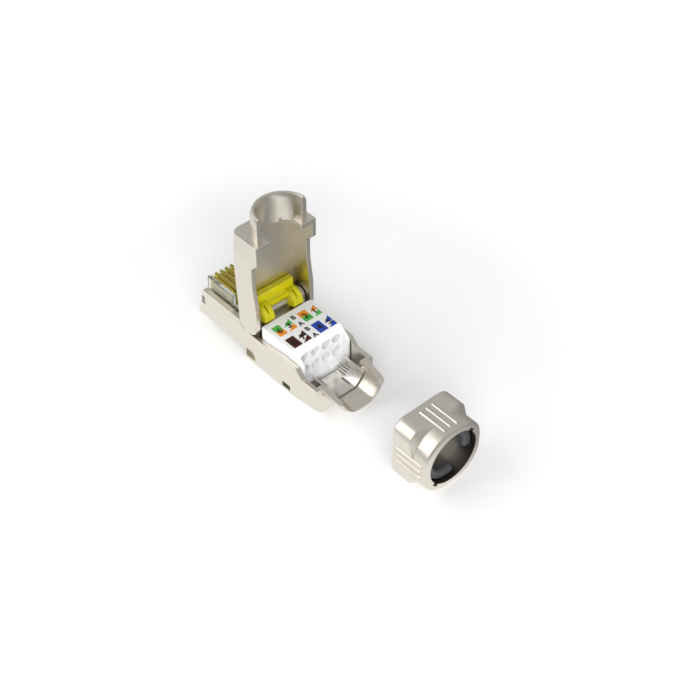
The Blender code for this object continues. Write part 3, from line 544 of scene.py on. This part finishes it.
def mark_roomy_edges(mesh, room):
    """Marks for the bevel the sharp edges that have room beside them and no short edge at their ends."""
    faces = {}
    for face in mesh.polygons:
        for key in face.edge_keys:
            faces.setdefault(key, []).append(face)
    crowded = crowded_corners(mesh, room)
    weights = mesh.attributes.new("bevel_weight_edge", "FLOAT", "EDGE")
    for edge in mesh.edges:
        sides = faces[edge.key]
        if sides[0].normal.angle(sides[1].normal) < SHARP_EDGE or crowded & set(edge.vertices):
            continue
        if all(face_has_room(mesh, face, edge.key, room) for face in sides):
            weights.data[edge.index].value = 1.0


def soft_edged_copy(node, radius, surface, body):
    """Copies a frame node, merges its triangles, rounds its sharp edges and puts it in the node's place.

    The edges are worked in millimetres, where the modifiers' own thresholds are small enough.
    """
    mesh = nodes[node].data.copy()
    piece = bpy.data.objects.new(node + "_finished", mesh)
    bpy.context.scene.collection.objects.link(piece)
    resize(piece, 1 / MM)
    bpy.ops.object.mode_set(mode="EDIT")
    bpy.ops.mesh.select_all(action="SELECT")
    bpy.ops.mesh.remove_doubles(threshold=SAME_POINT)
    bpy.ops.mesh.dissolve_limited(angle_limit=FLAT_TURN)
    bpy.ops.object.mode_set(mode="OBJECT")
    mark_roomy_edges(mesh, ROOM_SHARE * radius / MM)
    apply_modifier(piece, "BEVEL", width=radius / MM, segments=ROUNDING_STEPS, limit_method="WEIGHT",
                   use_clamp_overlap=False, miter_outer="MITER_ARC")
    bpy.ops.object.shade_smooth_by_angle(angle=SHARP_EDGE)
    apply_modifier(piece, "WEIGHTED_NORMAL", keep_sharp=True)
    resize(piece, MM)
    paint(piece, surface)
    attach(piece, body)
    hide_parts(node)


# The wiring code


def code_row(sizes, row):
    """The front, middle and rear of a row of fields along the plug, row 0 in front."""
    end = sizes.flat_top_end - sizes.code_end
    end -= (1 - row) * (sizes.field_length + sizes.row_gap)
    return end - sizes.field_length, end - sizes.field_length / 2, end


def ink_field(along, across, bottom, thickness, halved):
    """A thin box of ink; a halved one keeps only the half at its rear corner on the far side."""
    front, rear = along
    near, far = across
    deselect()
    middle = ((front + rear) / 2, (near + far) / 2, bottom + thickness / 2)
    bpy.ops.mesh.primitive_cube_add(size=1.0, location=middle, scale=(rear - front, far - near, thickness))
    bpy.ops.object.transform_apply()
    if halved:
        towards_front = Vector((near - far, front - rear, 0.0)).normalized()
        bpy.ops.object.mode_set(mode="EDIT")
        bpy.ops.mesh.select_all(action="SELECT")
        bpy.ops.mesh.bisect(plane_co=(front, far, bottom), plane_no=towards_front, use_fill=True,
                            clear_outer=True, threshold=0.0001 * MM)
        bpy.ops.object.mode_set(mode="OBJECT")
    return bpy.context.active_object


def ink_character(letter, place, height, thickness):
    """A printed number or letter that reads across the plug, its head towards the nose."""
    deselect()
    bpy.ops.object.text_add(location=(0.0, 0.0, 0.0))
    text = bpy.context.active_object
    text.data.body = letter
    text.data.offset = CHARACTER_BOLDNESS
    text.data.extrude = CHARACTER_DEPTH
    bpy.ops.object.convert(target="MESH")
    piece = bpy.context.active_object
    bpy.ops.object.origin_set(type="ORIGIN_GEOMETRY", center="BOUNDS")
    scale = height / piece.dimensions.y
    piece.scale = (scale, scale, thickness / piece.dimensions.z)
    piece.rotation_euler = (0.0, 0.0, math.radians(90.0))
    piece.location = (place[0], place[1], place[2] + thickness / 2)
    bpy.ops.object.transform_apply()
    return piece


def finish_print(pieces, name, ink):
    """Joins prints of one colour into one piece that rides with the housing."""
    deselect()
    for piece in pieces:
        piece.select_set(True)
    bpy.context.view_layer.objects.active = pieces[0]
    bpy.ops.object.join()
    pieces[0].name = name
    bpy.ops.object.origin_set(type="ORIGIN_CURSOR")
    paint(pieces[0], ink)
    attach(pieces[0], "housing")


# The floor, the light and the camera


def floor_in_reflections(tree, stage):
    """Brightness of the floor across the plug: bright in a band on the near side, darker beyond it."""
    across = coordinate(tree, object_coordinates(tree), "Y")
    near = ranged(tree, across, 0.0, 1.0, *NEAR_FLOOR)
    far = ranged(tree, across, 1.0, 0.0, *FAR_FLOOR)
    band = calculated(tree, "MULTIPLY", near, far)
    return mixed(tree, band, stage.floor_far, stage.floor_gloss, kind="FLOAT")


def floor_as_seen(tree, path, stage):
    """Light that the floor adds for the camera, straight or through clear plastic: more of it farther off."""
    distance = vector_length(tree, object_coordinates(tree))
    lifted = ranged(tree, distance, stage.floor_lift, 1.0, *LIFTED_FLOOR)
    seen = calculated(tree, "MAXIMUM", path.outputs["Is Camera Ray"], path.outputs["Is Transmission Ray"])
    return mixed(tree, seen, 0.0, lifted, kind="FLOAT")


def make_floor(stage):
    """A pale floor, lifted to white; reflections see it bright beside the plug and darker farther off."""
    deselect()
    bpy.ops.mesh.primitive_plane_add(size=FLOOR_WIDTH, location=(0.0, 0.0, -FLOOR_GAP))
    floor = bpy.context.active_object
    floor.name = "floor"
    bpy.ops.object.transform_apply()
    surface, tree, shader = new_surface("pale floor")
    shader.inputs["Roughness"].default_value = 0.9
    shader.inputs["Specular IOR Level"].default_value = 0.0
    shader.inputs["Emission Color"].default_value = (1.0, 1.0, 1.0, 1.0)
    path = tree.nodes.new("ShaderNodeLightPath")
    glossy = path.outputs["Is Glossy Ray"]
    seen = floor_as_seen(tree, path, stage)
    lift = mixed(tree, glossy, seen, floor_in_reflections(tree, stage), kind="FLOAT")
    tree.links.new(lift, shader.inputs["Emission Strength"])
    tree.links.new(mixed(tree, glossy, stage.floor_colour, (0.0, 0.0, 0.0)), shader.inputs["Base Color"])
    floor.data.materials.append(surface)


def make_sky(stage):
    """Soft light all round, dimmer low down in reflections; the camera sees it white."""
    world = bpy.data.worlds.new("soft sky")
    bpy.context.scene.world = world
    world.use_nodes = True
    tree = world.node_tree
    back = tree.nodes["Background"]
    back.inputs["Color"].default_value = (1.0, 1.0, 1.0, 1.0)
    source = tree.nodes.new("ShaderNodeTexCoord")
    slope = coordinate(tree, source.outputs["Generated"], "Z")
    reflected = ranged(tree, slope, stage.horizon_strength, stage.ceiling_strength, *SKY_RISE)
    path = tree.nodes.new("ShaderNodeLightPath")
    glossy = mixed(tree, path.outputs["Is Glossy Ray"], stage.sky_strength, reflected, kind="FLOAT")
    seen = mixed(tree, path.outputs["Is Camera Ray"], glossy, 1.0, kind="FLOAT")
    tree.links.new(seen, back.inputs["Strength"])


def add_lamp(name, place, width, watts, reflected):
    """A square lamp that looks at the plug, seen in its metal or not."""
    deselect()
    bpy.ops.object.light_add(type="AREA", location=place)
    lamp = bpy.context.active_object
    lamp.name = name
    lamp.data.energy = watts
    lamp.data.size = width
    lamp.visible_glossy = reflected
    lamp.rotation_euler = (-Vector(place)).to_track_quat("-Z", "Y").to_euler()


def make_camera(stage):
    """The camera at the photograph's angle."""
    azimuth = stage.camera_azimuth
    elevation = stage.camera_elevation
    forward = Vector((
        -math.sin(azimuth) * math.cos(elevation),
        math.cos(azimuth) * math.cos(elevation),
        -math.sin(elevation),
    ))
    turn = forward.to_track_quat("-Z", "Y").to_euler()
    deselect()
    bpy.ops.object.camera_add(location=stage.camera_place, rotation=turn)
    camera = bpy.context.active_object
    camera.data.sensor_width = FILM_WIDTH
    camera.data.lens = stage.camera_lens
    camera.data.clip_start = 1 * MM
    bpy.context.scene.camera = camera


# Operators


class PLUG_OT_stage(bpy.types.Operator):
    """Sets up the floor, the soft light and the camera"""
    bl_idname = "plug.stage"
    bl_label = "Stage"

    def execute(self, context):
        stage = context.scene.plug_stage
        make_floor(stage)
        make_sky(stage)
        add_lamp("key lamp", stage.key_place, stage.key_width, stage.key_power, reflected=True)
        add_lamp("fill lamp", stage.fill_place, stage.fill_width, stage.fill_power, reflected=False)
        make_camera(stage)
        context.scene.view_settings.view_transform = "Standard"
        return {"FINISHED"}


class PLUG_OT_castings(bpy.types.Operator):
    """Finishes the three die castings: the trough, the lid and the locking collar, with painted shade in the
    collar's bore
    """
    bl_idname = "plug.castings"
    bl_label = "Die castings"

    def execute(self, context):
        sizes = context.scene.plug_sizes
        colours = context.scene.plug_colours
        finishes = context.scene.plug_finishes
        edge = sizes.casting_edge
        tint = colours.casting
        nickel = cast_nickel("satin cast nickel", tint, finishes.casting_roughness)
        # The collar's own nickel, with painted shade in its bore
        collar_nickel_with_painted_shade = cast_nickel("satin cast nickel of the collar", tint, finishes.collar_roughness)
        paint_bore_shade(collar_nickel_with_painted_shade, colours.bore, sizes)
        soft_edged_copy("lower_housing", edge, nickel, "housing")
        soft_edged_copy("lid", edge, nickel, "lid")
        soft_edged_copy("locking_collar", edge, collar_nickel_with_painted_shade, "collar")
        return {"FINISHED"}


class PLUG_OT_metal_parts(bpy.types.Operator):
    """Finishes the spring clip, the hinge pin and the contacts"""
    bl_idname = "plug.metal_parts"
    bl_label = "Clip, pin and contacts"

    def execute(self, context):
        colours = context.scene.plug_colours
        finishes = context.scene.plug_finishes
        blades = [name for name in nodes if name.startswith("plug_contact_")]
        forks = [name for name in nodes if name.startswith("wire_contact_")]
        along = (0.2, 1.0, 1.0)
        across = (1.0, 0.1, 1.0)
        upward = (1.0, 1.0, 0.2)
        spring = drawn_metal("bright spring nickel", colours.spring, finishes.spring_roughness, along)
        steel = drawn_metal("drawn steel", colours.steel, finishes.steel_roughness, across)
        gold = drawn_metal("gold plating", colours.gold, finishes.gold_roughness, along)
        bronze = drawn_metal("tinned bronze", colours.bronze, finishes.bronze_roughness, upward)
        paint_nodes(["shield_clip"], spring)
        paint_nodes(["hinge_pin"], steel)
        paint_nodes(blades, gold)
        paint_nodes(forks, bronze)
        return {"FINISHED"}


class PLUG_OT_clear_mouldings(bpy.types.Operator):
    """Finishes the clear nose and the yellow tinted parts"""
    bl_idname = "plug.clear_mouldings"
    bl_label = "Clear mouldings"

    def execute(self, context):
        colours = context.scene.plug_colours
        finishes = context.scene.plug_finishes
        gloss = finishes.clear_roughness
        edge = context.scene.plug_sizes.moulding_edge
        yellow = tinted_plastic("yellow tinted plastic", colours.yellow, finishes.yellow_clearness, gloss)
        clear = tinted_plastic("clear plastic", colours.clear, finishes.nose_clearness, gloss)
        # The block and the lever take the yellow plastic darkened with painted shade
        deep_yellow = tinted_plastic("deep yellow tinted plastic", colours.deep_yellow,
                                     finishes.shaded_yellow_clearness, gloss)
        soft_edged_copy("press_bar", edge / 2, yellow, "lid")
        soft_edged_copy("contact_block", edge / 2, deep_yellow, "housing")
        soft_edged_copy("latch_lever", edge / 2, deep_yellow, "latch")
        soft_edged_copy("plug_nose", edge, clear, "housing")
        return {"FINISHED"}


class PLUG_OT_solid_mouldings(bpy.types.Operator):
    """Finishes the wire manager, the contact carrier, the circuit board and the jaws"""
    bl_idname = "plug.solid_mouldings"
    bl_label = "Solid mouldings"

    def execute(self, context):
        colours = context.scene.plug_colours
        finishes = context.scene.plug_finishes
        edge = context.scene.plug_sizes.moulding_edge
        white = moulded_plastic("white moulded plastic", colours.white, finishes.white_roughness,
                                grain=0.12 * MM, glow=finishes.white_glow)
        black = moulded_plastic("black moulded plastic", colours.black, finishes.black_roughness,
                                grain=0.1 * MM)
        soft_edged_copy("wire_manager", edge, white, "housing")
        for node in ("collar_jaw_upper", "collar_jaw_lower"):
            soft_edged_copy(node, edge, black, "collar")
        paint_nodes(["contact_carrier"], black)
        paint_nodes(["circuit_board"], board_laminate("green laminate", colours.laminate))
        return {"FINISHED"}


class PLUG_OT_wiring_code(bpy.types.Operator):
    """Prints the coloured fields, the wire numbers and the letters on the wire manager"""
    bl_idname = "plug.wiring_code"
    bl_label = "Wiring code"

    def execute(self, context):
        sizes = context.scene.plug_sizes
        colours = context.scene.plug_colours
        thickness = sizes.print_height
        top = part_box("wire_manager")[1][2]
        fields = {name: [] for name in ("green", "orange", "blue", "brown")}
        marks = []
        for digit, row, near, far, front_ink, rear_ink, striped in CODE_FIELDS:
            front, middle, rear = code_row(sizes, row)
            across = (near * MM, far * MM)
            for ink, along in ((front_ink, (front, middle)), (rear_ink, (middle, rear))):
                fields[ink].append(ink_field(along, across, top, thickness, striped))
            place = (middle, sum(across) / 2, top)
            marks.append(ink_character(digit, place, sizes.digit_height, 2 * thickness))
        for row in (0, 1):
            front, middle, rear = code_row(sizes, row)
            for letter, x in (("B", (3 * front + middle) / 4), ("A", (3 * rear + middle) / 4)):
                place = (x, LETTER_PLACE, top)
                marks.append(ink_character(letter, place, sizes.letter_height, 2 * thickness))
        for name, pieces in fields.items():
            ink = printed_ink(name + " ink", getattr(colours, "ink_" + name))
            finish_print(pieces, "code_fields_" + name, ink)
        finish_print(marks, "code_marks", printed_ink("black ink", colours.ink_black))
        return {"FINISHED"}


class VIEW3D_PT_plug(bpy.types.Panel):
    """Lists the plug's sizes, colours and steps"""
    bl_label = "Field termination plug"
    bl_space_type = "VIEW_3D"
    bl_region_type = "UI"
    bl_category = "Plug"

    def draw(self, context):
        layout = self.layout
        for name in SETTINGS:
            group = getattr(context.scene, name)
            box = layout.box()
            for setting in group.__annotations__:
                box.prop(group, setting)
        for operator in STEPS:
            layout.operator(operator.bl_idname)


SETTINGS = {
    "plug_sizes": PlugSizes,
    "plug_colours": PlugColours,
    "plug_finishes": PlugFinishes,
    "plug_stage": PlugStage,
}
STEPS = (
    PLUG_OT_stage,
    PLUG_OT_castings,
    PLUG_OT_metal_parts,
    PLUG_OT_clear_mouldings,
    PLUG_OT_solid_mouldings,
    PLUG_OT_wiring_code,
)
CLASSES = (*SETTINGS.values(), *STEPS, VIEW3D_PT_plug)


def register():
    for item in CLASSES:
        bpy.utils.register_class(item)
    for name, group in SETTINGS.items():
        setattr(bpy.types.Scene, name, PointerProperty(type=group))


def unregister():
    for name in SETTINGS:
        delattr(bpy.types.Scene, name)
    for item in reversed(CLASSES):
        bpy.utils.unregister_class(item)


def main():
    register()
    bpy.ops.plug.stage()
    bpy.ops.plug.castings()
    bpy.ops.plug.metal_parts()
    bpy.ops.plug.clear_mouldings()
    bpy.ops.plug.solid_mouldings()
    bpy.ops.plug.wiring_code()


if __name__ == "__main__":
    main()
